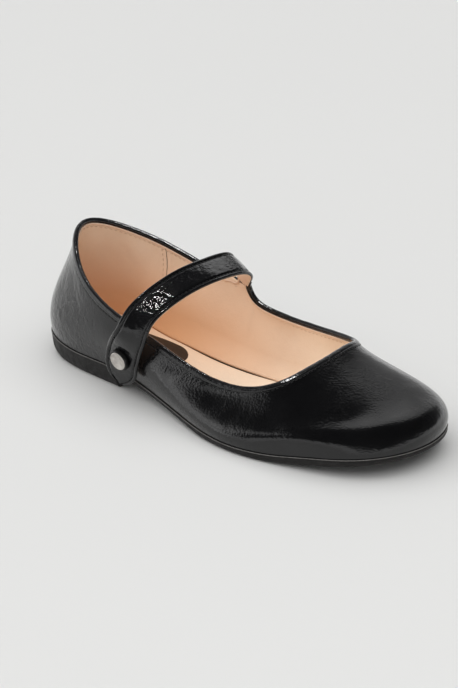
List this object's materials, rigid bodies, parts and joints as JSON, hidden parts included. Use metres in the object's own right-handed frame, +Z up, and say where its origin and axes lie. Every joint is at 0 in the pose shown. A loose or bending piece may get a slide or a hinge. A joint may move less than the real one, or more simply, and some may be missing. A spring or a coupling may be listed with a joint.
{
  "type": "mary jane shoe",
  "caption": "Flat mary jane shoe for the right foot: hollow patent upper, low moulded sole, and an instep strap held by a snap.",
  "frame": {"origin": "middle of the shoe's footprint box, on the floor it stands on", "axes": "+X from the heel to the toe, +Y to the inner side of the foot, +Z up"},
  "size_m": [0.253, 0.0952, 0.0702],
  "materials": {
    "patent_leather": "crinkled patent, high gloss",
    "lining": "smooth nude lining, soft sheen",
    "sole_rubber": "matte, lightly speckled",
    "snap_metal": "satin"
  },
  "bodies": {
    "root": {"sole": "sole_rubber", "insole": "lining", "upper": "patent_leather", "strap": "patent_leather", "stud": "snap_metal"}
  },
  "joints": []
}
